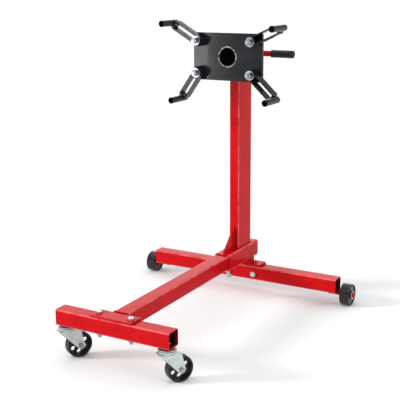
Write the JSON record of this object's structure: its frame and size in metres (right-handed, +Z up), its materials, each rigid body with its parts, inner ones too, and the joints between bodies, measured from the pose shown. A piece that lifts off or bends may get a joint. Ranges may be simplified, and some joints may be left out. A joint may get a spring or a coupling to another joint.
{
  "type": "engine stand",
  "caption": "Welded tube engine stand on fixed rear wheels and swivel front casters, with a turning mounting plate, slotted clamp arms, a push-through handle and a lock pin.",
  "frame": {"origin": "on the floor, at the centre of the stand's bounding box", "axes": "+Z up; -Y is the front, where the leg, the casters and the mounting arms point; +X is the stand's right-hand side seen from the front, where the grip sticks out"},
  "size_m": [0.841, 0.9192, 0.9682],
  "materials": {
    "red_paint": "glossy red powder coat",
    "black_paint": "semi-gloss black powder coat",
    "zinc": "bright zinc plate",
    "wheel_plastic": "moulded black plastic, polished tread",
    "caster_plastic": "moulded black plastic",
    "grip_foam": "matte black moulded grip"
  },
  "bodies": {
    "base": {"rear_crossbar": "red_paint", "saddle_plate": "red_paint", "riser_block": "red_paint", "saddle_bolt_left": "zinc", "saddle_bolt_right": "zinc", "saddle_nut_left": "zinc", "saddle_nut_right": "zinc", "stub_axle_left": "red_paint", "stub_axle_right": "red_paint", "axle_washer_left": "zinc", "axle_washer_right": "zinc", "sleeve": "red_paint", "clamp_weld_nut": "zinc", "post": "red_paint", "gusset": "red_paint", "shaft_housing": "red_paint", "pin_boss": "red_paint"},
    "clamp_screw": {"clamp_screw": "zinc"},
    "front_leg": {"leg": "red_paint", "leg_bracket": "red_paint", "front_crossbar": "red_paint", "bracket_bolt_left": "zinc", "bracket_bolt_right": "zinc", "bracket_nut_left": "zinc", "bracket_nut_right": "zinc", "caster_stem_left": "zinc", "caster_stem_right": "zinc", "caster_nut_left": "zinc", "caster_nut_right": "zinc"},
    "head": {"head_plate": "black_paint", "head_shaft": "black_paint", "retaining_ring": "zinc"},
    "handle": {"handle_bar": "red_paint", "handle_grip": "grip_foam"},
    "lock_pin": {"lock_pin": "zinc", "lock_pin_handle": "zinc"},
    "caster_left": {"caster_fork_left": "zinc", "caster_axle_left": "zinc"},
    "caster_wheel_left": {"caster_wheel_left": "caster_plastic"},
    "rear_wheel_left": {"rear_wheel_left": "wheel_plastic"},
    "caster_right": {"caster_fork_right": "zinc", "caster_axle_right": "zinc"},
    "caster_wheel_right": {"caster_wheel_right": "caster_plastic"},
    "rear_wheel_right": {"rear_wheel_right": "wheel_plastic"},
    "arm_clamp_upper_left": {"arm_bolt_upper_left": "zinc", "arm_washer_upper_left": "zinc", "arm_nut_upper_left": "zinc"},
    "arm_upper_left": {"arm_upper_left": "black_paint"},
    "arm_clamp_upper_right": {"arm_bolt_upper_right": "zinc", "arm_washer_upper_right": "zinc", "arm_nut_upper_right": "zinc"},
    "arm_upper_right": {"arm_upper_right": "black_paint"},
    "arm_clamp_lower_left": {"arm_bolt_lower_left": "zinc", "arm_washer_lower_left": "zinc", "arm_nut_lower_left": "zinc"},
    "arm_lower_left": {"arm_lower_left": "black_paint"},
    "arm_clamp_lower_right": {"arm_bolt_lower_right": "zinc", "arm_washer_lower_right": "zinc", "arm_nut_lower_right": "zinc"},
    "arm_lower_right": {"arm_lower_right": "black_paint"}
  },
  "joints": [
    {"name": "head_turn", "type": "hinge", "parent": "base", "child": "head", "pos_m": [0, 0.383, 0.8485], "axis": [0, 1, 0], "continuous": true},
    {"name": "handle_slide", "type": "slide", "parent": "head", "child": "handle", "axis": [1, 0, 0], "range_m": [-0.035, 0.02]},
    {"name": "lock_pin_slide", "type": "slide", "parent": "base", "child": "lock_pin", "axis": [0, 0, 1], "range_m": [-0.012, 0]},
    {"name": "leg_slide", "type": "slide", "parent": "base", "child": "front_leg", "axis": [0, -1, 0], "range_m": [-0.03, 0.1]},
    {"name": "clamp_screw_travel", "type": "slide", "parent": "base", "child": "clamp_screw", "axis": [0, 0, 1], "range_m": [-0.01, 0]},
    {"name": "arm_upper_left_swing", "type": "hinge", "parent": "head", "child": "arm_clamp_upper_left", "pos_m": [-0.1005, 0.254, 0.902], "axis": [0, 1, 0], "range_deg": [-30, 30]},
    {"name": "arm_upper_left_slide", "type": "slide", "parent": "arm_clamp_upper_left", "child": "arm_upper_left", "axis": [-0.866, 0, 0.5], "range_m": [-0.04, 0.004]},
    {"name": "arm_upper_right_swing", "type": "hinge", "parent": "head", "child": "arm_clamp_upper_right", "pos_m": [0.1005, 0.254, 0.902], "axis": [0, 1, 0], "range_deg": [-30, 30]},
    {"name": "arm_upper_right_slide", "type": "slide", "parent": "arm_clamp_upper_right", "child": "arm_upper_right", "axis": [0.9135, 0, 0.4067], "range_m": [-0.04, 0]},
    {"name": "arm_lower_left_swing", "type": "hinge", "parent": "head", "child": "arm_clamp_lower_left", "pos_m": [-0.1005, 0.254, 0.795], "axis": [0, 1, 0], "range_deg": [-30, 30]},
    {"name": "arm_lower_left_slide", "type": "slide", "parent": "arm_clamp_lower_left", "child": "arm_lower_left", "axis": [-0.5736, 0, -0.8192], "range_m": [-0.04, 0.004]},
    {"name": "arm_lower_right_swing", "type": "hinge", "parent": "head", "child": "arm_clamp_lower_right", "pos_m": [0.1005, 0.254, 0.795], "axis": [0, 1, 0], "range_deg": [-30, 30]},
    {"name": "arm_lower_right_slide", "type": "slide", "parent": "arm_clamp_lower_right", "child": "arm_lower_right", "axis": [0.7314, 0, -0.682], "range_m": [-0.04, 0]},
    {"name": "rear_wheel_left_spin", "type": "hinge", "parent": "base", "child": "rear_wheel_left", "pos_m": [-0.3937, 0.4005, 0.0375], "axis": [1, 0, 0], "continuous": true},
    {"name": "rear_wheel_right_spin", "type": "hinge", "parent": "base", "child": "rear_wheel_right", "pos_m": [0.3937, 0.4005, 0.0375], "axis": [1, 0, 0], "continuous": true},
    {"name": "caster_left_swivel", "type": "hinge", "parent": "front_leg", "child": "caster_left", "pos_m": [-0.175, -0.43, 0.1], "axis": [0, 0, 1], "continuous": true},
    {"name": "caster_wheel_left_spin", "type": "hinge", "parent": "caster_left", "child": "caster_wheel_left", "pos_m": [-0.15922, -0.39764, 0.04], "axis": [-0.8988, 0.4384, 0], "continuous": true},
    {"name": "caster_right_swivel", "type": "hinge", "parent": "front_leg", "child": "caster_right", "pos_m": [0.175, -0.43, 0.1], "axis": [0, 0, 1], "continuous": true},
    {"name": "caster_wheel_right_spin", "type": "hinge", "parent": "caster_right", "child": "caster_wheel_right", "pos_m": [0.19354, -0.39914, 0.04], "axis": [-0.8572, 0.515, 0], "continuous": true}
  ]
}
